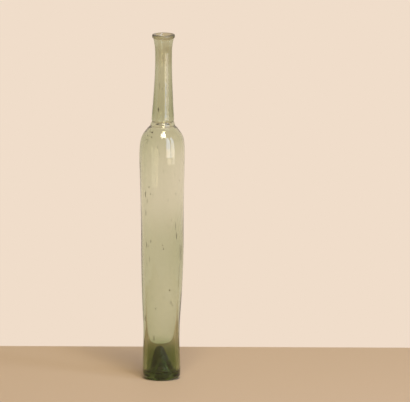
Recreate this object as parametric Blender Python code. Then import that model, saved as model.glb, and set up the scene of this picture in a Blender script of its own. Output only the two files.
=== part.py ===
"""Free-blown pale green glass vial with a tall kick-up, a long neck and a ring of glass laid round its mouth.

A standalone script for Blender 4.5, in metres with +Z up. The origin is on the surface that the vial stands on,
under the middle of its widest ring. Every piece is a ring-by-ring loft of a named outline round the vial's own
centre line, which wanders a little from foot to mouth as that of a vial blown by hand does.
"""

import math

import bmesh
import bpy

# Outside of the blown wall, from the foot up. A rise is the height of one stretch over the stretch below it.
HEEL_RADIUS = 0.01345
HEEL_ROUND = 0.0036
WAIST_RADIUS = 0.01276
WAIST_HEIGHT = 0.0300
HIP_RADIUS = 0.01422
HIP_RISE = 0.0292
BELLY_RADIUS = 0.01520
BELLY_RISE = 0.0348
SHOULDER_RADIUS = 0.01630
CHEST_RISE = 0.0660
NECK_FOOT_RADIUS = 0.00817
SHOULDER_RISE = 0.0262
NECK_RADIUS = 0.00599
NECK_RISE = 0.0428
FLARE_RISE = 0.0162

# Line that the jacks pressed into the glass at the foot of the neck: steep above its deepest place, shallow below it.
JACK_LINE_DROP = 0.0006
JACK_LINE_RISE = 0.0006
JACK_LINE_FALL = 0.0016
JACK_LINE_DEPTH = 0.0006

# Thickness of the blown wall, which is thickest beside the kick-up, and which the breath thins above the belly.
HEEL_WALL = 0.0027
KICK_SIDE_WALL = 0.0034
KICK_SIDE_HEIGHT = 0.0170
WAIST_WALL = 0.0029
HIP_WALL = 0.0024
BELLY_WALL = 0.0027
HIGH_BODY_WALL = 0.0011
HIGH_BODY_RISE = 0.0360
SHOULDER_WALL = 0.0015

# Bore of the neck, which opens into the body above the neck's foot and into the flare above the neck's top.
BORE_RADIUS = 0.0033
BORE_TOP_RISE = 0.0055
BORE_FOOT_RADIUS = 0.0041
BORE_FOOT_RISE = 0.0083

# Mouth, and the ring of glass laid round it on a ledge.
MOUTH_RADIUS = 0.0055
MOUTH_WALL = 0.0011
LIP_RADIUS = 0.0081
LIP_STEP = 0.0008
LIP_HEIGHT = 0.0025

# Kick-up: the heel's glass is pushed up into a tall cone, whose tip leans to one side.
HEEL_GLASS = 0.0056
TROUGH_ROUND = 0.0008
KICK_HEIGHT = 0.0235
KICK_TIP_ROUND = 0.0036
KICK_TIP_WALL = 0.0100
KICK_HOLLOW_ROUND = 0.0016
KICK_FOOT_ROUND = 0.0015
KICK_LEAN = -0.0012
REST_WIDTH = 0.0024

# How far the centre line stands to one side of the middle of the widest ring, at the height of each name.
FOOT_WANDER = 0.00025
WAIST_WANDER = -0.00005
BELLY_WANDER = 0.00045
NECK_FOOT_WANDER = 0.0004
NECK_WANDER = 0.0008
MOUTH_WANDER = 0.0007

# How much further to that side the inside stands, which leaves the wall thicker on one side than on the other.
HIP_INNER_SHIFT = 0.0003
BELLY_INNER_SHIFT = -0.00025
SHOULDER_INNER_SHIFT = 0.0007

# Scar of the pontil rod: a broken ring of glass in the hollow of the kick-up.
SCAR_HEIGHT = 0.0024
SCAR_FOOT_HEIGHT = 0.0060
SCAR_THICKNESS = 0.0010
SCAR_JAG = 0.0004

# Gap between a piece and the glass that it is seated on.
SEAT_GAP = 0.0003

# Shapes between the named sizes, as (share of the climb, share of the change in radius).
FOOT_SHARES = ((0.15, 0.00), (0.47, 0.30), (0.79, 0.67))
CHEST_SHARES = ((0.22, 0.00), (0.48, 0.21), (0.61, 0.30), (0.74, 0.56), (0.87, 0.85))
SHOULDER_SHARES = ((0.34, 0.04), (0.45, 0.10), (0.56, 0.18), (0.67, 0.40), (0.78, 0.67), (0.885, 0.905))
NECK_SHARES = ((0.07, 0.14), (0.20, 0.32), (0.47, 0.62), (0.67, 0.85), (0.82, 0.96))
FLARE_SHARES = ((0.50, 0.05), (0.73, 0.37), (0.91, 0.78))
INNER_SHOULDER_SHARES = ((0.26, 0.08), (0.40, 0.20), (0.51, 0.43), (0.60, 0.65), (0.70, 0.83), (0.82, 0.945))
INNER_FLARE_SHARES = ((0.40, 0.19), (0.68, 0.53))

# Share of the kick-up's height over which it takes up its lean.
LEAN_START_SHARE = 0.40
LEAN_END_SHARE = 0.85

# Waves that break the edge of the scar, as (waves in a turn, share of the jag, phase in turns).
JAG_SHARES = ((3, 0.5, 0.10), (7, 0.3, 0.35), (13, 0.2, 0.60))

# Steps along each stretch of the outline, and round the vial.
STEPS_ROUND = 48
BODY_STEPS = 14
SHOULDER_STEPS = 12
JACK_LINE_STEPS = 3
NECK_STEPS = 7
FLARE_STEPS = 5
RIM_STEPS = 4
INNER_SHOULDER_STEPS = 9
INNER_BODY_STEPS = 12
FLANK_STEPS = 6
ARC_STEPS = 4
LIP_STEPS = 20
LIP_SQUARENESS = 2.6
SMOOTH_ANGLE = math.radians(40)

BODY_GLASS = (0.63, 0.72, 0.55, 1.0)
LIP_GLASS = (0.55, 0.60, 0.42, 1.0)
SCAR_GLASS = (0.50, 0.60, 0.46, 1.0)


def clear_scene():
    """Removes whatever the opened scene holds."""
    for old in list(bpy.data.objects):
        bpy.data.objects.remove(old, do_unlink=True)


def glass(name, colour, roughness):
    """Soda-lime glass, green from the iron in its sand."""
    material = bpy.data.materials.new(name)
    material.use_nodes = True
    shader = material.node_tree.nodes["Principled BSDF"]
    shader.inputs["Base Color"].default_value = colour
    shader.inputs["Roughness"].default_value = roughness
    shader.inputs["Metallic"].default_value = 0.0
    shader.inputs["IOR"].default_value = 1.52
    shader.inputs["Transmission Weight"].default_value = 1.0
    return material


def even_steps(low, high, steps):
    """Places from low to high, both ends included."""
    return [low + (high - low) * step / steps for step in range(steps + 1)]


def shared_stations(start, end, shares):
    """The (height, radius) stations from start to end that a table of shares gives, both ends included."""
    climb = end[0] - start[0]
    change = end[1] - start[1]
    between = [(start[0] + climb * up, start[1] + change * out) for up, out in shares]
    return [start, *between, end]


def station_slopes(stations):
    """Slopes at the stations that keep the curve through them from overshooting."""
    steps = [(b[0] - a[0], (b[1] - a[1]) / (b[0] - a[0])) for a, b in zip(stations, stations[1:])]
    slopes = [steps[0][1]]
    for (run_before, before), (run_after, after) in zip(steps, steps[1:]):
        if before * after <= 0:
            slopes.append(0.0)
            continue
        weight_before = 2 * run_after + run_before
        weight_after = run_after + 2 * run_before
        slopes.append((weight_before + weight_after) / (weight_before / before + weight_after / after))
    slopes.append(steps[-1][1])
    return slopes


def smooth_value(stations, place):
    """The value at a place on the smooth curve through (place, value) stations."""
    if place <= stations[0][0]:
        return stations[0][1]
    if place >= stations[-1][0]:
        return stations[-1][1]
    slopes = station_slopes(stations)
    index = max(i for i, station in enumerate(stations[:-1]) if station[0] <= place)
    (start, low), (end, high) = stations[index], stations[index + 1]
    run = end - start
    t = (place - start) / run
    return (
        low * (1 + 2 * t) * (1 - t) ** 2
        + high * t * t * (3 - 2 * t)
        + run * slopes[index] * t * (1 - t) ** 2
        - run * slopes[index + 1] * t * t * (1 - t)
    )


def ease(share):
    """Nothing up to 0, all from 1 on, and a soft start and end between them."""
    share = min(max(share, 0.0), 1.0)
    return share * share * (3 - 2 * share)


def arc(centre, radius, start, end, steps):
    """Points (radius, height) along an arc, with its angles in radians from the outward direction."""
    return [
        (centre[0] + radius * math.cos(angle), centre[1] + radius * math.sin(angle))
        for angle in even_steps(start, end, steps)
    ]


def line(start, end, steps):
    """Points between two points, with neither end."""
    return [
        (start[0] + (end[0] - start[0]) * step / steps, start[1] + (end[1] - start[1]) * step / steps)
        for step in range(1, steps)
    ]


def cone_outline(tip_height, tip_round, foot, foot_round, foot_end):
    """Outline of a cone from its tip on the axis down its flank and round its foot.

    The flank is the straight line that touches both the tip's arc and the foot's arc, which bends the other way.
    foot is the centre of the foot's arc, and foot_end is the angle at which that arc ends.
    """
    tip = (0.0, tip_height - tip_round)
    across = foot[0] - tip[0]
    down = foot[1] - tip[1]
    tilt = math.atan2(down, across) + math.acos((tip_round + foot_round) / math.hypot(across, down))
    tip_arc = arc(tip, tip_round, math.pi / 2, tilt, ARC_STEPS)
    foot_arc = arc(foot, foot_round, tilt - math.pi, foot_end, ARC_STEPS)
    tip_arc[0] = (0.0, tip_height)
    return tip_arc + line(tip_arc[-1], foot_arc[0], FLANK_STEPS) + foot_arc


HIP_HEIGHT = WAIST_HEIGHT + HIP_RISE
BELLY_HEIGHT = HIP_HEIGHT + BELLY_RISE
SHOULDER_HEIGHT = BELLY_HEIGHT + CHEST_RISE
NECK_FOOT_HEIGHT = SHOULDER_HEIGHT + SHOULDER_RISE
NECK_TOP_HEIGHT = NECK_FOOT_HEIGHT + NECK_RISE
LEDGE_HEIGHT = NECK_TOP_HEIGHT + FLARE_RISE
OVERALL_HEIGHT = LEDGE_HEIGHT + SEAT_GAP + LIP_HEIGHT
JACK_LINE_HEIGHT = NECK_FOOT_HEIGHT - JACK_LINE_DROP
HIGH_BODY_HEIGHT = BELLY_HEIGHT + HIGH_BODY_RISE
BORE_FOOT_HEIGHT = NECK_FOOT_HEIGHT + BORE_FOOT_RISE
BORE_TOP_HEIGHT = NECK_TOP_HEIGHT + BORE_TOP_RISE
FLARE_RADIUS = LIP_RADIUS - LIP_STEP
RIM_RADIUS = MOUTH_RADIUS + MOUTH_WALL
RIM_ROUND = MOUTH_WALL / 2
HOLLOW_HEIGHT = KICK_HEIGHT - KICK_TIP_WALL
REST_OUTER_RADIUS = HEEL_RADIUS - HEEL_ROUND
REST_INNER_RADIUS = REST_OUTER_RADIUS - REST_WIDTH

BODY_STATIONS = [
    *shared_stations((HEEL_ROUND, HEEL_RADIUS), (WAIST_HEIGHT, WAIST_RADIUS), FOOT_SHARES),
    (HIP_HEIGHT, HIP_RADIUS),
    *shared_stations((BELLY_HEIGHT, BELLY_RADIUS), (SHOULDER_HEIGHT, SHOULDER_RADIUS), CHEST_SHARES),
]
SHOULDER_STATIONS = shared_stations(
    (SHOULDER_HEIGHT, SHOULDER_RADIUS), (NECK_FOOT_HEIGHT, NECK_FOOT_RADIUS), SHOULDER_SHARES
)
NECK_STATIONS = shared_stations(
    (NECK_FOOT_HEIGHT, NECK_FOOT_RADIUS), (NECK_TOP_HEIGHT, NECK_RADIUS), NECK_SHARES
)
FLARE_STATIONS = shared_stations((NECK_TOP_HEIGHT, NECK_RADIUS), (LEDGE_HEIGHT, FLARE_RADIUS), FLARE_SHARES)
OUTER_STATIONS = BODY_STATIONS + SHOULDER_STATIONS[1:] + NECK_STATIONS[1:] + FLARE_STATIONS[1:]

WALL_STATIONS = [
    (HEEL_GLASS, HEEL_WALL),
    (KICK_SIDE_HEIGHT, KICK_SIDE_WALL),
    (WAIST_HEIGHT, WAIST_WALL),
    (HIP_HEIGHT, HIP_WALL),
    (BELLY_HEIGHT, BELLY_WALL),
    (HIGH_BODY_HEIGHT, HIGH_BODY_WALL),
    (SHOULDER_HEIGHT, SHOULDER_WALL),
]
INNER_SHOULDER_STATIONS = shared_stations(
    (SHOULDER_HEIGHT, SHOULDER_RADIUS - SHOULDER_WALL),
    (BORE_FOOT_HEIGHT, BORE_FOOT_RADIUS),
    INNER_SHOULDER_SHARES,
)
INNER_FLARE_STATIONS = shared_stations(
    (BORE_TOP_HEIGHT, BORE_RADIUS), (OVERALL_HEIGHT - RIM_ROUND, MOUTH_RADIUS), INNER_FLARE_SHARES
)
CENTRE_STATIONS = [
    (0.0, FOOT_WANDER),
    (WAIST_HEIGHT, WAIST_WANDER),
    (BELLY_HEIGHT, BELLY_WANDER),
    (SHOULDER_HEIGHT, 0.0),
    (NECK_FOOT_HEIGHT, NECK_FOOT_WANDER),
    (NECK_TOP_HEIGHT, NECK_WANDER),
    (OVERALL_HEIGHT, MOUTH_WANDER),
]
INNER_SHIFT_STATIONS = [
    (WAIST_HEIGHT, 0.0),
    (HIP_HEIGHT, HIP_INNER_SHIFT),
    (BELLY_HEIGHT, BELLY_INNER_SHIFT),
    (SHOULDER_HEIGHT, SHOULDER_INNER_SHIFT),
    (NECK_FOOT_HEIGHT, 0.0),
]


def body_centre(height):
    """How far the centre line of the outside stands to one side at a height."""
    return smooth_value(CENTRE_STATIONS, height)


def inner_centre(height):
    """The same for the inside."""
    return body_centre(height) + smooth_value(INNER_SHIFT_STATIONS, height)


def kick_centre(height):
    """The same for the kick-up, which leans further the nearer it comes to its tip."""
    start = KICK_HEIGHT * LEAN_START_SHARE
    end = KICK_HEIGHT * LEAN_END_SHARE
    return body_centre(height) + KICK_LEAN * ease((height - start) / (end - start))


def inner_body_radius(height):
    """Radius of the inside of the body, one wall in from the outside."""
    return smooth_value(OUTER_STATIONS, height) - smooth_value(WALL_STATIONS, height)


def kick_hollow_outline():
    """The hollow under the vial, from its tip down to the ring that the vial rests on."""
    foot = (REST_INNER_RADIUS, KICK_FOOT_ROUND)
    return cone_outline(HOLLOW_HEIGHT, KICK_HOLLOW_ROUND, foot, KICK_FOOT_ROUND, -math.pi / 2)


def kick_top_outline():
    """The floor of the vial's inside, from the kick-up's tip down into the trough round it and up its wall."""
    height = HEEL_GLASS + TROUGH_ROUND
    foot = (inner_body_radius(height) - TROUGH_ROUND, height)
    return cone_outline(KICK_HEIGHT, KICK_TIP_ROUND, foot, TROUGH_ROUND, 0.0)


def jack_line(height):
    """How deep the line at the foot of the neck is at a height."""
    reach = JACK_LINE_RISE if height > JACK_LINE_HEIGHT else JACK_LINE_FALL
    return JACK_LINE_DEPTH * max(1 - abs(height - JACK_LINE_HEIGHT) / reach, 0.0)


def outside_outline():
    """The outside, from the heel's arc up to the ledge that the lip's ring lies on."""
    points = arc((REST_OUTER_RADIUS, HEEL_ROUND), HEEL_ROUND, -math.pi / 2, 0.0, ARC_STEPS)
    line_low = JACK_LINE_HEIGHT - JACK_LINE_FALL
    line_high = JACK_LINE_HEIGHT + JACK_LINE_RISE
    heights = even_steps(HEEL_ROUND, SHOULDER_HEIGHT, BODY_STEPS)[1:]
    heights += even_steps(SHOULDER_HEIGHT, line_low, SHOULDER_STEPS)[1:]
    heights += even_steps(line_low, JACK_LINE_HEIGHT, JACK_LINE_STEPS)[1:]
    heights += even_steps(line_high, NECK_TOP_HEIGHT, NECK_STEPS)
    heights += even_steps(NECK_TOP_HEIGHT, LEDGE_HEIGHT, FLARE_STEPS)[1:]
    return points + [(smooth_value(OUTER_STATIONS, height) - jack_line(height), height) for height in heights]


def mouth_outline():
    """The wall's end inside the lip's ring: up from the ledge and over the fire-polished rim."""
    centre = (MOUTH_RADIUS + RIM_ROUND, OVERALL_HEIGHT - RIM_ROUND)
    return [(RIM_RADIUS, LEDGE_HEIGHT), *arc(centre, RIM_ROUND, 0.0, math.pi, RIM_STEPS)]


def inside_outline():
    """The inside, from below the rim down the flare, the bore and the shoulder to above the trough."""
    flare = even_steps(OVERALL_HEIGHT - RIM_ROUND, BORE_TOP_HEIGHT, FLARE_STEPS)[1:]
    shoulder = even_steps(BORE_FOOT_HEIGHT, SHOULDER_HEIGHT, INNER_SHOULDER_STEPS)
    body = even_steps(SHOULDER_HEIGHT, HEEL_GLASS + TROUGH_ROUND, INNER_BODY_STEPS)[1:-1]
    return (
        [(smooth_value(INNER_FLARE_STATIONS, height), height) for height in flare]
        + [(smooth_value(INNER_SHOULDER_STATIONS, height), height) for height in shoulder]
        + [(inner_body_radius(height), height) for height in body]
    )


def ring_points(point, centre, ripple=None):
    """One ring of the loft: its points round the centre line at its height."""
    radius, height = point
    if radius == 0:
        return [(centre(height), 0.0, height)]
    points = []
    for step in range(STEPS_ROUND):
        angle = 2 * math.pi * step / STEPS_ROUND
        lift = ripple(angle) if ripple else 0.0
        points.append((centre(height) + radius * math.cos(angle), radius * math.sin(angle), height + lift))
    return points


def loft(name, rings, material, closed):
    """One solid through rings of points. closed joins its last ring to its first, as round a ring of glass."""
    shape = bmesh.new()
    loops = [[shape.verts.new(point) for point in ring] for ring in rings]
    pairs = list(zip(loops, loops[1:]))
    if closed:
        pairs.append((loops[-1], loops[0]))
    for low, high in pairs:
        for step in range(STEPS_ROUND):
            after = (step + 1) % STEPS_ROUND
            if len(low) == 1:
                shape.faces.new((low[0], high[after], high[step]))
            elif len(high) == 1:
                shape.faces.new((low[step], low[after], high[0]))
            else:
                shape.faces.new((low[step], low[after], high[after], high[step]))
    mesh = bpy.data.meshes.new(name)
    shape.to_mesh(mesh)
    shape.free()
    mesh.shade_smooth()
    mesh.set_sharp_from_angle(angle=SMOOTH_ANGLE)
    mesh.materials.append(material)
    made = bpy.data.objects.new(name, mesh)
    bpy.context.scene.collection.objects.link(made)
    return made


def blown_vial():
    """The one wall of glass, lofted from under the kick-up, up the outside, over the mouth and down the inside."""
    rings = [ring_points(point, kick_centre) for point in kick_hollow_outline()]
    rings += [ring_points(point, body_centre) for point in outside_outline()]
    rings += [ring_points(point, body_centre) for point in mouth_outline()]
    rings += [ring_points(point, inner_centre) for point in inside_outline()]
    rings += [ring_points(point, kick_centre) for point in reversed(kick_top_outline())]
    return loft("blown_vial", rings, glass("pale_green_glass", BODY_GLASS, 0.03), closed=False)


def lip_ring():
    """The ring of glass round the mouth, with a soft square section, seated on the wall's ledge."""
    low = LEDGE_HEIGHT + SEAT_GAP
    inner = RIM_RADIUS + SEAT_GAP
    middle = ((inner + LIP_RADIUS) / 2, (low + OVERALL_HEIGHT) / 2)
    reach = ((LIP_RADIUS - inner) / 2, (OVERALL_HEIGHT - low) / 2)
    rings = []
    for step in range(LIP_STEPS):
        turn = 2 * math.pi * step / LIP_STEPS
        out, up = math.cos(turn), math.sin(turn)
        out = math.copysign(abs(out) ** (2 / LIP_SQUARENESS), out)
        up = math.copysign(abs(up) ** (2 / LIP_SQUARENESS), up)
        point = (middle[0] + reach[0] * out, middle[1] + reach[1] * up)
        rings.append(ring_points(point, body_centre))
    return loft("lip_ring", rings, glass("lip_glass", LIP_GLASS, 0.04), closed=True)


def hollow_radius(height):
    """Radius of the hollow under the vial at a height on its flank."""
    outline = kick_hollow_outline()
    for high, low in zip(outline, outline[1:]):
        if low[1] <= height <= high[1]:
            return high[0] + (low[0] - high[0]) * (high[1] - height) / (high[1] - low[1])
    return REST_INNER_RADIUS


def scar_ripple(angle):
    """How far the broken edge of the scar stands up or down at an angle round the vial."""
    return SCAR_JAG * sum(share * math.sin(waves * angle + 2 * math.pi * turn) for waves, share, turn in JAG_SHARES)


def pontil_scar():
    """The broken ring of glass that lies along the flank of the hollow, with a jagged edge all round below."""
    low = SCAR_FOOT_HEIGHT
    high = SCAR_FOOT_HEIGHT + SCAR_HEIGHT
    middle = (low + high) / 2
    inset = SCAR_THICKNESS + SEAT_GAP
    section = (
        (hollow_radius(low) - SEAT_GAP - SCAR_JAG, low, scar_ripple),
        (hollow_radius(middle) - SEAT_GAP, middle, None),
        (hollow_radius(high) - SEAT_GAP, high, None),
        (hollow_radius(high) - inset, high, None),
        (hollow_radius(middle) - inset, middle, None),
        (hollow_radius(low) - inset, low, scar_ripple),
    )
    rings = [ring_points((radius, height), kick_centre, ripple) for radius, height, ripple in section]
    return loft("pontil_scar", rings, glass("broken_glass", SCAR_GLASS, 0.25), closed=True)


clear_scene()
blown_vial()
lip_ring()
pontil_scar()
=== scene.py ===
"""Looks of a free-blown, pale green glass vial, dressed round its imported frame.

It is old glass made by hand: one fused wall of uneven thickness, with seeds of air drawn out along the pull,
grains of dark stone, a brown film on the neck, and the scar of the pontil rod in the hollow of the base.
"""

import math

import bpy
from mathutils import Matrix, Vector, noise

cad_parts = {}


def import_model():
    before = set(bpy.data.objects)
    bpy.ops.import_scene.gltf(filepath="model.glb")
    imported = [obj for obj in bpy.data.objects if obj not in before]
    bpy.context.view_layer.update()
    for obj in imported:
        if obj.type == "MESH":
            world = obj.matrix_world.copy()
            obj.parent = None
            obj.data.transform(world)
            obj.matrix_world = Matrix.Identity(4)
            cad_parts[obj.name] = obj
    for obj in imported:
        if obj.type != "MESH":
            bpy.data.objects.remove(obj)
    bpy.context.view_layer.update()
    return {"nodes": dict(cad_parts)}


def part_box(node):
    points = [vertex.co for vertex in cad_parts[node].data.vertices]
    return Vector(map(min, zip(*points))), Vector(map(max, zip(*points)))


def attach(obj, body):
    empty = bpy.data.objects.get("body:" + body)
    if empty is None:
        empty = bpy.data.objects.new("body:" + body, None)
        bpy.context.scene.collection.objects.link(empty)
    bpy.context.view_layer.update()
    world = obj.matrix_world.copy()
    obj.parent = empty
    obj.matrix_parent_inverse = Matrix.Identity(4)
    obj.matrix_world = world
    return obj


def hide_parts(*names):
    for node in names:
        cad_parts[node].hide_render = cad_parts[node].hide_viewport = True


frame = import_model()

MM = 0.001

# The picture is 410 px wide and taken through a long lens, from 10 to 11 degrees above the vial.
PICTURE_WIDTH_PX = 410
FOCAL_LENGTH_PX = 13387.6
CAMERA_PLACE = (30.565 * MM, -9.34115, 1858.37 * MM)
CAMERA_PITCH = math.radians(10.4941)
CAMERA_ROLL = math.radians(0.242)

# The board that the vial stands on ends a little behind it. It is matt, with a faint sheen.
BOARD_BACK = 117.2 * MM
BOARD_FRONT = 0.30
BOARD_WIDTH = 0.60
BOARD_THICKNESS = 25 * MM
BOARD_ROUND = 2 * MM
BOARD_ROUND_STEPS = 3
BOARD_COLOUR = "#DCC3A2"
BOARD_ROUGHNESS = 0.7
BOARD_SHEEN = 0.25

# The room: how bright it is to the camera itself, and, as the glass mirrors and bends it, behind the vial,
# beside it and on the camera's side. The pairs say where one turns to the next, by a ray's direction from
# the front, -1, to the back, 1. What is matt gets only the fill.
ROOM_COLOUR = "#F0DDCA"
BACKDROP = 1.0
BACK_LIGHT = 1.0
SIDE_LIGHT = 0.95
FRONT_LIGHT = 0.80
FRONT_TO_SIDE = (-0.95, 0.0)
SIDE_TO_BACK = (-0.1, 0.85)
FLOOR_FILL = 0.22

# Lamps: name, degrees to the right of the camera's side, distance, width, lower and upper edge in metres,
# radiance and colour.
LAMPS = (
    # A warm soft box, wider at its top, for the highlight on the shoulder and the small one above it.
    ("key_lamp_high", 8, 0.72, 0.66, 1.30, 1.68, 18, "#FFF3DC"),
    ("key_lamp_low", 8, 0.72, 0.46, 0.95, 1.30, 18, "#FFF3DC"),
    # Two cool window panes with a bar between them, brighter where they show the sky.
    ("window_left_pane", 31, 1.0, 0.38, 0.13, 0.94, 4.2, "#C2D3FF"),
    ("window_left_sky", 31, 1.0, 0.304, 0.94, 1.03, 9.0, "#D6E2FF"),
    ("window_right_pane", 57, 1.0, 0.32, 0.34, 0.94, 4.2, "#C2D3FF"),
    ("window_right_sky", 57, 1.0, 0.256, 0.94, 1.03, 9.0, "#D6E2FF"),
    # The pale sills below them: the upper half of the strip of light along the neck.
    ("left_sill", 31, 1.0, 0.38, 0.01, 0.13, 4.4, "#FFEEDA"),
    ("right_sill", 55, 1.0, 0.36, 0.01, 0.34, 3.6, "#F2EAE6"),
)

# Soda-lime glass, tinted by the iron in its sand: how much of each colour a millimetre takes out. The colour
# of its surface is nearly white, a faint dulling by age.
GLASS_IOR = 1.52
GLASS_ABSORPTION = (0.084, 0.072, 0.113)
AGED_GLASS = "#F9F9F3"

# CAD points closer than this are one. Triangles that bend less than this pair into quads of any shape.
MERGE = 0.001 * MM
QUAD_BEND = math.radians(40)
QUAD_SHAPE = math.radians(180)
SUBDIVISIONS = 2

# A point is on the wall's inside or outside if its normal leans to the middle line or away by more than this.
FACING = 0.2

# The wall is drawn out unevenly: how deep the streaks on its inside are, how wide and how long, and how much
# of them is a finer kind among the broad ones. They are full where the radius times STREAK_FULL reaches the
# body's radius, and shallower where it doesn't, as in the neck.
STREAK_DEPTH = 0.14 * MM
STREAK_WIDTH = 6.0 * MM
STREAK_LENGTH = 80 * MM
FINE_STREAKS = 0.2
FINE_WIDTH = 0.45
STREAK_FULL = 1.8
BODY_RADIUS = 16 * MM

# The ripples on its outside: how deep they are at most, how wide, and their mean as a share of that depth.
RIPPLE_DEPTH = 0.05 * MM
RIPPLE_WIDTH = 9.0 * MM
RIPPLE_MEAN = 0.5

# Both fade out above the foot and below the mouth, and are calmer from the shoulder to the foot of the neck.
STREAK_FOOT = 36 * MM
STREAK_TOP = 240 * MM
STREAK_FADE = 6 * MM
SHOULDER_CALM = 0.8
CALM_BELOW = (158 * MM, 172 * MM)
CALM_ABOVE = (202 * MM, 192 * MM)

# Creases that the jacks pressed in at the foot of the neck: height, depth and half width in mm.
CREASES = ((186.0, 0.10, 0.3), (182.6, 0.50, 0.9))

# Stains and painted shade on the glass: the colour, how strong it is, and where it starts and where it is
# full. That is in mm of height, of distance out from the middle line, or of both along the slope of the
# hollow, or it is a level of the noise that gives patches of this size in mm.
PATCH_SIZE = 5.0
HOLLOW_SLOPE = 1.9
# The brown of the film on the neck and lip, also used for the painted shade in the two creases.
FILM_AND_CREASE_SHADE = "#BFA878"
LIP_LIMITS = (("height", 244.5, 245.5), ("out", 5.9, 6.6))
FLARE_LIMITS = (("height", 224, 230), ("height", 240.8, 239), ("out", 4.6, 5.2))
TINTS = (
    # The brown film on the neck: thin all along, and thicker and patchy up to an edge below the flare.
    (FILM_AND_CREASE_SHADE, 0.10, (("height", 180, 196),)),
    (FILM_AND_CREASE_SHADE, 0.16, FLARE_LIMITS),
    (FILM_AND_CREASE_SHADE, 0.24, FLARE_LIMITS + (("patches", 0.35, 0.65),)),
    # Painted shade in the two creases at the foot of the neck, in the film's brown, and the film on the
    # outside of the lip's ring.
    (FILM_AND_CREASE_SHADE, 0.60, (("height", 185.3, 185.8), ("height", 186.6, 186.1), ("out", 6.2, 7.0))),
    (FILM_AND_CREASE_SHADE, 0.40, (("height", 182.0, 182.5), ("height", 183.2, 182.7), ("out", 6.2, 7.0))),
    (FILM_AND_CREASE_SHADE, 0.70, LIP_LIMITS),
    # Painted shade: the inside and the outside of the foot, the heel and the hollow under it are tinted a
    # darker green, for the shade under the vial seen through the thick glass.
    ("#B9CBA0", 1.00, (("out", 13, 11.5), ("height", 32, 14))),
    ("#C4CFA9", 1.00, (("out", 11.6, 12.2), ("height", 30, 20))),
    ("#8E9A70", 1.00, (("out", 11.6, 12.2), ("height", 8.5, 5.5))),
    ("#89956C", 1.00, (("cone", 20, 18),)),
)

# The outside of the lip's ring is dulled by tooling and wear: its roughness.
LIP_WEAR = 0.35

# Seeds of air in the wall: height in mm, degrees to the right of the camera's side, length and width in mm.
SEEDS = (
    (130.0, -44, 3.0, 0.60), (121.0, -50, 4.4, 0.55), (112.0, 41, 6.0, 0.55), (76.0, 58, 18.0, 0.50),
    (57.0, 30, 2.4, 0.60), (88.0, -38, 3.6, 0.60), (101.0, -33, 2.2, 0.60), (178.6, -47, 0.40, 2.6),
    (176.0, -50, 0.35, 3.0), (173.6, -50, 0.40, 2.6), (171.4, -47, 0.35, 2.2), (212.0, -20, 6.0, 0.40),
)

# More seeds all round, placed by a noise: how many, about where they start and how far up they spread in mm,
# the turn from one to the next in radians, and their least length and width in mm, with what a noise of 1
# adds to each.
LOOSE_SEEDS = 34
LOOSE_FOOT = 34
LOOSE_SPREAD = 186
LOOSE_TURN = 2.4
LOOSE_LENGTH = (0.9, 3.0)
LOOSE_WIDTH = (0.26, 0.40)

# Where the loose seeds read the noise: one step on for each seed, and elsewhere for their lengths and widths.
NOISE_START = Vector((0, 0.4, 2.9))
NOISE_STEP = 1.7
LENGTH_NOISE = Vector((0, 5, 0))
WIDTH_NOISE = Vector((0, 0, 7))

# Grains of dark stone in the wall, by the same four numbers. They are matt, and speckled with two browns.
STONES = (
    (194.7, -26, 3.2, 0.60), (178.6, -39, 1.20, 1.20), (175.6, -35, 0.90, 0.80), (135.3, -32, 1.10, 0.55),
    (140.2, -37, 1.10, 0.80), (134.6, -51, 4.4, 0.58), (95.9, 5, 1.10, 0.60), (98.6, 3, 0.50, 1.00),
    (65.9, 25, 1.20, 0.75), (98.0, -49, 4.0, 0.45), (97.4, -42, 0.80, 0.55), (104.8, 45, 5.2, 0.50),
    (91.9, 66, 13.0, 0.65), (54.8, 36, 1.00, 0.50), (43.7, -76, 4.2, 0.60), (30.7, -26, 4.2, 0.55),
    (111.0, 150, 1.20, 0.60), (48.0, 205, 1.10, 0.60), (157.0, 118, 1.10, 0.60), (82.0, 245, 4.0, 0.50),
)
STONE_SPECKLE = 0.4 * MM
STONE_BROWNS = ("#4A3D2C", "#80704F")
STONE_ROUGHNESS = 0.7

# A grain is at most this share of the wall thick. The wall's outer face is looked for from this far past the
# inner one.
GRAIN_SHARE = 0.7
PAST_FACE = 0.1 * MM
SEED_SEGMENTS = 10
STONE_SEGMENTS = 8

# The scar's break: the size of its crumbs, its colour, the levels of a noise at which it is clear and fully
# crumbled, and its roughness at these.
SCAR_CRUMB = 0.8 * MM
SCAR_COLOUR = "#DDE3CF"
SCAR_PATCHES = (0.35, 0.65)
SCAR_FROST = (0.08, 0.48)

# The numbers of a mix node's sockets for colours: the first, the second and the result.
MIX_FIRST = 6
MIX_SECOND = 7
MIX_RESULT = 2


def linear(hex_colour):
    """Linear RGB of an sRGB hex colour."""
    channels = [int(hex_colour[i:i + 2], 16) / 255 for i in (1, 3, 5)]
    return tuple(c / 12.92 if c <= 0.04045 else ((c + 0.055) / 1.055) ** 2.4 for c in channels)


def rgba(hex_colour):
    """Linear RGBA of an sRGB hex colour."""
    return (*linear(hex_colour), 1.0)


def add(tree, kind, settings=None, inputs=None):
    """One node with its settings and inputs.

    An input is set to a value, or linked to a socket or to the first output of a node.
    """
    node = tree.nodes.new(kind)
    for name, value in (settings or {}).items():
        setattr(node, name, value)
    for name, value in (inputs or {}).items():
        if isinstance(value, bpy.types.Node):
            value = value.outputs[0]
        if isinstance(value, bpy.types.NodeSocket):
            tree.links.new(value, node.inputs[name])
        else:
            node.inputs[name].default_value = value
    return node


def new_material(name):
    """A material and its node tree, still empty."""
    material = bpy.data.materials.new(name)
    material.use_nodes = True
    material.node_tree.nodes.clear()
    return material, material.node_tree


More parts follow.
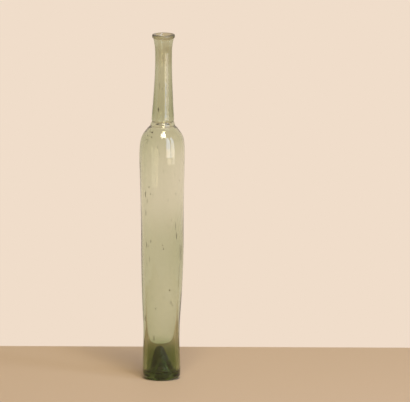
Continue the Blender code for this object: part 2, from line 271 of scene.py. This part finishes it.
def only(piece):
    """Selects one piece alone."""
    bpy.ops.object.select_all(action="DESELECT")
    piece.select_set(True)
    bpy.context.view_layer.objects.active = piece


def edit(piece, mode="VERT"):
    """Starts to edit one piece, with nothing in it selected."""
    only(piece)
    bpy.ops.object.mode_set(mode="EDIT")
    bpy.ops.mesh.select_mode(type=mode)
    bpy.ops.mesh.select_all(action="DESELECT")


def done():
    """Ends the editing."""
    bpy.ops.object.mode_set(mode="OBJECT")


def join(pieces):
    """Joins the pieces into the first one."""
    bpy.ops.object.select_all(action="DESELECT")
    for piece in pieces:
        piece.select_set(True)
    bpy.context.view_layer.objects.active = pieces[0]
    bpy.ops.object.join()
    return pieces[0]


def share(value, low, high):
    """How far value is from low to high, from 0 to 1 with a soft start and end."""
    part = min(max((value - low) / (high - low), 0.0), 1.0)
    return part * part * (3 - 2 * part)


def quad_copy(node, name):
    """A merged copy of a CAD node, with its triangles paired into quads."""
    piece = bpy.data.objects.new(name, frame["nodes"][node].data.copy())
    bpy.context.scene.collection.objects.link(piece)
    edit(piece)
    bpy.ops.mesh.select_all(action="SELECT")
    bpy.ops.mesh.remove_doubles(threshold=MERGE)
    bpy.ops.mesh.tris_convert_to_quads(face_threshold=QUAD_BEND, shape_threshold=QUAD_SHAPE)
    done()
    return piece


def delete_faces(piece, wanted):
    """Deletes the faces whose centre is wanted."""
    edit(piece, "FACE")
    done()
    for face in piece.data.polygons:
        face.select = wanted(face.center)
    bpy.ops.object.mode_set(mode="EDIT")
    bpy.ops.mesh.delete(type="FACE")
    done()


def blown_glass():
    """Clear pale green glass: the volume gives the green that deepens where the wall is thick.

    The stains and the painted shade of TINTS are laid over its own colour one by one.
    """
    material, tree = new_material("soda_lime_glass_blown")
    density = max(GLASS_ABSORPTION) / MM
    colour = [1 - a / max(GLASS_ABSORPTION) for a in GLASS_ABSORPTION]
    place = add(tree, "ShaderNodeVectorMath", {"operation": "SCALE"}, {
        0: add(tree, "ShaderNodeTexCoord").outputs["Object"], "Scale": 1 / MM})
    split = add(tree, "ShaderNodeSeparateXYZ", inputs={0: place}).outputs
    flat = add(tree, "ShaderNodeCombineXYZ", inputs={"X": split["X"], "Y": split["Y"]})
    out = add(tree, "ShaderNodeVectorMath", {"operation": "LENGTH"}, {0: flat}).outputs["Value"]
    where = {
        "height": split["Z"],
        "out": out,
        "cone": add(tree, "ShaderNodeMath", {"operation": "MULTIPLY_ADD"}, {
            0: out, 1: HOLLOW_SLOPE, 2: split["Z"]}),
        "patches": add(tree, "ShaderNodeTexNoise", inputs={"Vector": place, "Scale": 1 / PATCH_SIZE}),
    }

    def within(amount, limits):
        """The amount, faded to nothing outside the limits."""
        for measure, start, full in limits:
            share_here = add(tree, "ShaderNodeMapRange", {"interpolation_type": "SMOOTHSTEP"}, {
                "Value": where[measure], "From Min": start, "From Max": full})
            amount = add(tree, "ShaderNodeMath", {"operation": "MULTIPLY"}, {0: amount, 1: share_here})
        return amount

    tint = rgba(AGED_GLASS)
    for stain_and_shade, strength, limits in TINTS:
        tint = add(tree, "ShaderNodeMix", {"data_type": "RGBA"}, {
            "Factor": within(strength, limits), MIX_FIRST: tint, MIX_SECOND: rgba(stain_and_shade)}).outputs[MIX_RESULT]
    surface = add(tree, "ShaderNodeBsdfPrincipled", inputs={
        "Base Color": tint, "Roughness": within(LIP_WEAR, LIP_LIMITS), "IOR": GLASS_IOR,
        "Transmission Weight": 1.0})
    volume = add(tree, "ShaderNodeVolumeAbsorption", inputs={"Color": (*colour, 1), "Density": density})
    add(tree, "ShaderNodeOutputMaterial", inputs={"Surface": surface, "Volume": volume})
    return material


def fuse_ring(wall):
    """Joins the outer half of the lip's ring to the wall, as the two are melted together.

    The faces between the two are deleted, and the edges left are bridged at the ledge and at the rim.
    """
    ring = quad_copy("lip_ring", "ring")
    low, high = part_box("lip_ring")
    centre_x = (low.x + high.x) / 2

    def out(point):
        return math.hypot(point.x - centre_x, point.y)

    radii = [out(vertex.co) for vertex in ring.data.vertices]
    middle = (min(radii) + max(radii)) / 2
    ledge = max(v.co.z for v in wall.data.vertices if v.co.z < low.z)
    gap = low.z - ledge
    delete_faces(wall, lambda centre: centre.z > ledge - gap / 4 and out(centre) > min(radii) - 2 * gap)
    delete_faces(ring, lambda centre: out(centre) < middle)
    wall = join([wall, ring])
    for seam in (ledge, high.z):
        edit(wall, "EDGE")
        bpy.ops.mesh.select_non_manifold(
            extend=False, use_wire=False, use_boundary=True, use_multi_face=False, use_non_contiguous=False,
            use_verts=False)
        done()
        for edge in wall.data.edges:
            heights = [wall.data.vertices[v].co.z for v in edge.vertices]
            if max(abs(h - seam) for h in heights) > 2 * gap:
                edge.select = False
        bpy.ops.object.mode_set(mode="EDIT")
        bpy.ops.mesh.bridge_edge_loops()
        done()
    edit(wall)
    bpy.ops.mesh.select_all(action="SELECT")
    bpy.ops.mesh.normals_make_consistent(inside=False)
    done()


def subdivide(piece, levels):
    """Rounds off the facets of the CAD model."""
    smooth = piece.modifiers.new("smooth", "SUBSURF")
    smooth.levels = smooth.render_levels = levels
    only(piece)
    bpy.ops.object.modifier_apply(modifier=smooth.name)


def unevenness(height):
    """How much of the streaks and ripples shows at a height, from 0 to 1."""
    part = share(height, STREAK_FOOT, STREAK_FOOT + STREAK_FADE)
    part *= share(height, STREAK_TOP, STREAK_TOP - STREAK_FADE)
    return part * (1 - SHOULDER_CALM * share(height, *CALM_BELOW) * share(height, *CALM_ABOVE))


def uneven_wall(wall):
    """Moves the inside in and out in long streaks, and presses ripples and the creases into the outside.

    The streaks run along the pull of the glass, which no mesh operator gives, so each point is moved in code.
    """
    vertices = wall.data.vertices
    normals = [vertex.normal.copy() for vertex in vertices]
    for vertex, normal in zip(vertices, normals):
        place = vertex.co
        out = Vector((place.x, place.y, 0)).normalized()
        facing = normal.dot(out)
        radius = math.hypot(place.x, place.y)
        size = radius / BODY_RADIUS
        if facing < -FACING:
            spot = out * radius / STREAK_WIDTH + Vector((0, 0, place.z / STREAK_LENGTH))
            streaks = noise.noise(spot) + FINE_STREAKS * noise.noise(spot / FINE_WIDTH)
            depth = STREAK_DEPTH * min(STREAK_FULL * size, 1.0) * unevenness(place.z)
            vertex.co = place + normal * (depth * streaks)
        elif facing > FACING and place.z > STREAK_FOOT:
            ripples = RIPPLE_MEAN + (1 - RIPPLE_MEAN) * noise.noise(place / RIPPLE_WIDTH)
            depth = RIPPLE_DEPTH * size * unevenness(place.z) * ripples
            for crease, deep, half_width in CREASES:
                depth += deep * MM * math.exp(-((place.z / MM - crease) / half_width) ** 2)
            vertex.co = place - normal * depth


def wall_between(wall, height, turn):
    """The inner and outer points of the wall at a height and turn, and the way from one to the other."""
    way = Vector((math.sin(turn), -math.cos(turn), 0))
    inner = wall.ray_cast(Vector((0, 0, height)), way)[1]
    outer = wall.ray_cast(inner + way * PAST_FACE, way)[1]
    return inner, outer, way


def grain(wall, height, turn, length, width, name, segments):
    """One small drawn-out grain in the middle of the wall, standing along it."""
    inner, outer, way = wall_between(wall, height, turn)
    above = wall_between(wall, height + length / 2, turn)
    below = wall_between(wall, height - length / 2, turn)
    along = ((above[0] + above[1]) - (below[0] + below[1])).normalized()
    thick = min(width, GRAIN_SHARE * (outer - inner).length)
    across = way.cross(along).normalized()
    deep = along.cross(across)
    turned = Matrix((across, deep, along)).transposed()
    bpy.ops.mesh.primitive_uv_sphere_add(
        segments=segments, ring_count=segments, radius=0.5, location=(inner + outer) / 2,
        rotation=turned.to_euler(), scale=(width, thick, length))
    bpy.ops.object.transform_apply(location=True, rotation=True, scale=True)
    made = bpy.context.object
    made.name = name
    return made


def in_metres(row):
    """A row of SEEDS or STONES in metres and radians."""
    height, turn, length, width = row
    return height * MM, math.radians(turn), length * MM, width * MM


def loose_seed(index):
    """The height, turn, length and width of one loose seed, in metres and radians."""
    spot = NOISE_START + Vector((index * NOISE_STEP, 0, 0))
    height = (LOOSE_FOOT + LOOSE_SPREAD * (0.5 + noise.noise(spot))) * MM
    length = (LOOSE_LENGTH[0] + LOOSE_LENGTH[1] * abs(noise.noise(spot + LENGTH_NOISE))) * MM
    width = (LOOSE_WIDTH[0] + LOOSE_WIDTH[1] * abs(noise.noise(spot + WIDTH_NOISE))) * MM
    return height, LOOSE_TURN * index, length, width


def seeds(wall):
    """Seeds of air: their skins face the air inside them, so the glass round them bends the light."""
    places = [in_metres(row) for row in SEEDS] + [loose_seed(index) for index in range(LOOSE_SEEDS)]
    skins = join([grain(wall, *place, "seed", SEED_SEGMENTS) for place in places])
    skins.data.flip_normals()
    return skins


def stones(wall):
    """Dark grains of unmelted batch and furnace brick."""
    grains = join([grain(wall, *in_metres(row), "stone", STONE_SEGMENTS) for row in STONES])
    grains.name = "stones"
    material, tree = new_material("batch_stone")
    place = add(tree, "ShaderNodeTexCoord").outputs["Object"]
    speckle = add(tree, "ShaderNodeTexNoise", inputs={"Vector": place, "Scale": 1 / STONE_SPECKLE})
    dark, pale = STONE_BROWNS
    brown = add(tree, "ShaderNodeMix", {"data_type": "RGBA"}, {
        "Factor": speckle, MIX_FIRST: rgba(dark), MIX_SECOND: rgba(pale)}).outputs[MIX_RESULT]
    surface = add(tree, "ShaderNodeBsdfPrincipled", inputs={
        "Base Color": brown, "Roughness": STONE_ROUGHNESS})
    add(tree, "ShaderNodeOutputMaterial", inputs={"Surface": surface})
    grains.data.shade_smooth()
    grains.data.materials.append(material)
    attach(grains, "root")


def vial():
    """The wall with its fused lip, its streaks and its seeds, and the stones that lie in it."""
    wall = quad_copy("blown_vial", "vial_glass")
    fuse_ring(wall)
    subdivide(wall, SUBDIVISIONS)
    uneven_wall(wall)
    stones(wall)
    skins = seeds(wall)
    wall = join([wall, skins])
    wall.data.shade_smooth()
    wall.data.materials.clear()
    wall.data.materials.append(blown_glass())
    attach(wall, "root")
    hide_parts("blown_vial", "lip_ring")


def scar():
    """The broken ring that the pontil rod left: clear where it snapped, and frosted where it crumbled."""
    broken = quad_copy("pontil_scar", "scar_glass")
    material, tree = new_material("soda_lime_glass_broken")
    place = add(tree, "ShaderNodeTexCoord").outputs["Object"]
    crumbs = add(tree, "ShaderNodeTexNoise", inputs={"Vector": place, "Scale": 1 / SCAR_CRUMB})
    frost = add(tree, "ShaderNodeMapRange", inputs={
        "Value": crumbs, "From Min": SCAR_PATCHES[0], "From Max": SCAR_PATCHES[1],
        "To Min": SCAR_FROST[0], "To Max": SCAR_FROST[1]})
    surface = add(tree, "ShaderNodeBsdfPrincipled", inputs={
        "Base Color": rgba(SCAR_COLOUR), "Roughness": frost, "IOR": GLASS_IOR, "Transmission Weight": 1.0})
    add(tree, "ShaderNodeOutputMaterial", inputs={"Surface": surface})
    broken.data.materials.clear()
    broken.data.materials.append(material)
    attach(broken, "root")
    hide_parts("pontil_scar")


def board():
    """The pale board that the vial stands on."""
    bpy.ops.object.select_all(action="DESELECT")
    bpy.ops.mesh.primitive_cube_add(
        size=1, location=(0, (BOARD_BACK - BOARD_FRONT) / 2, -BOARD_THICKNESS / 2))
    floor = bpy.context.object
    floor.name = "board"
    floor.dimensions = (BOARD_WIDTH, BOARD_FRONT + BOARD_BACK, BOARD_THICKNESS)
    bpy.ops.object.transform_apply(location=True, scale=True)
    bevel = floor.modifiers.new("round", "BEVEL")
    bevel.width = BOARD_ROUND
    bevel.segments = BOARD_ROUND_STEPS
    bpy.ops.object.modifier_apply(modifier=bevel.name)
    material, tree = new_material("pale_board")
    surface = add(tree, "ShaderNodeBsdfPrincipled", inputs={
        "Base Color": rgba(BOARD_COLOUR), "Roughness": BOARD_ROUGHNESS, "Specular IOR Level": BOARD_SHEEN})
    add(tree, "ShaderNodeOutputMaterial", inputs={"Surface": surface})
    floor.data.materials.append(material)


def world():
    """A pale room: even to the camera, a little dimmer to the front in the glass, and dim for the board."""
    room = bpy.data.worlds.new("pale_room")
    room.use_nodes = True
    tree = room.node_tree
    tree.nodes.clear()
    path = add(tree, "ShaderNodeLightPath").outputs
    way = add(tree, "ShaderNodeTexCoord").outputs["Generated"]
    back = add(tree, "ShaderNodeSeparateXYZ", inputs={0: way}).outputs["Y"]
    bent = add(tree, "ShaderNodeMapRange", {"interpolation_type": "SMOOTHSTEP"}, {
        "Value": back, "From Min": FRONT_TO_SIDE[0], "From Max": FRONT_TO_SIDE[1],
        "To Min": FRONT_LIGHT, "To Max": SIDE_LIGHT})
    bent = add(tree, "ShaderNodeMapRange", {"interpolation_type": "SMOOTHSTEP"}, {
        "Value": back, "From Min": SIDE_TO_BACK[0], "From Max": SIDE_TO_BACK[1],
        "To Min": bent, "To Max": BACK_LIGHT})
    in_glass = add(tree, "ShaderNodeMath", {"operation": "MAXIMUM"}, {
        0: path["Is Glossy Ray"], 1: path["Is Transmission Ray"]})
    level = add(tree, "ShaderNodeMapRange", inputs={
        "Value": in_glass, "To Min": FLOOR_FILL, "To Max": bent})
    level = add(tree, "ShaderNodeMapRange", inputs={
        "Value": path["Is Camera Ray"], "To Min": level, "To Max": BACKDROP})
    light = add(tree, "ShaderNodeBackground", inputs={"Color": rgba(ROOM_COLOUR), "Strength": level})
    add(tree, "ShaderNodeOutputWorld", inputs={"Surface": light})
    bpy.context.scene.world = room


def lamp(name, azimuth, distance, width, low, high, radiance, colour):
    """A soft upright box of light that faces the vial's middle line."""
    turn = math.radians(azimuth)
    light = bpy.data.lights.new(name, "AREA")
    light.shape = "RECTANGLE"
    light.size = width
    light.size_y = high - low
    light.color = linear(colour)
    # The power of a flat lamp is pi times its radiance and area.
    light.energy = radiance * math.pi * width * (high - low)
    box = bpy.data.objects.new(name, light)
    bpy.context.scene.collection.objects.link(box)
    box.location = (distance * math.sin(turn), -distance * math.cos(turn), (low + high) / 2)
    box.rotation_euler = (math.pi / 2, 0, turn)


def camera():
    """A long lens at the place and tilt that the picture was taken from."""
    lens = bpy.data.cameras.new("camera")
    lens.lens = lens.sensor_width * FOCAL_LENGTH_PX / PICTURE_WIDTH_PX
    seen_from = bpy.data.objects.new("camera", lens)
    bpy.context.scene.collection.objects.link(seen_from)
    turn = Matrix.Rotation(math.pi / 2 - CAMERA_PITCH, 4, "X") @ Matrix.Rotation(CAMERA_ROLL, 4, "Z")
    seen_from.matrix_world = Matrix.Translation(CAMERA_PLACE) @ turn
    bpy.context.scene.camera = seen_from


camera()
world()
board()
for lamp_row in LAMPS:
    lamp(*lamp_row)
vial()
scar()

bpy.context.scene.view_settings.view_transform = "Standard"
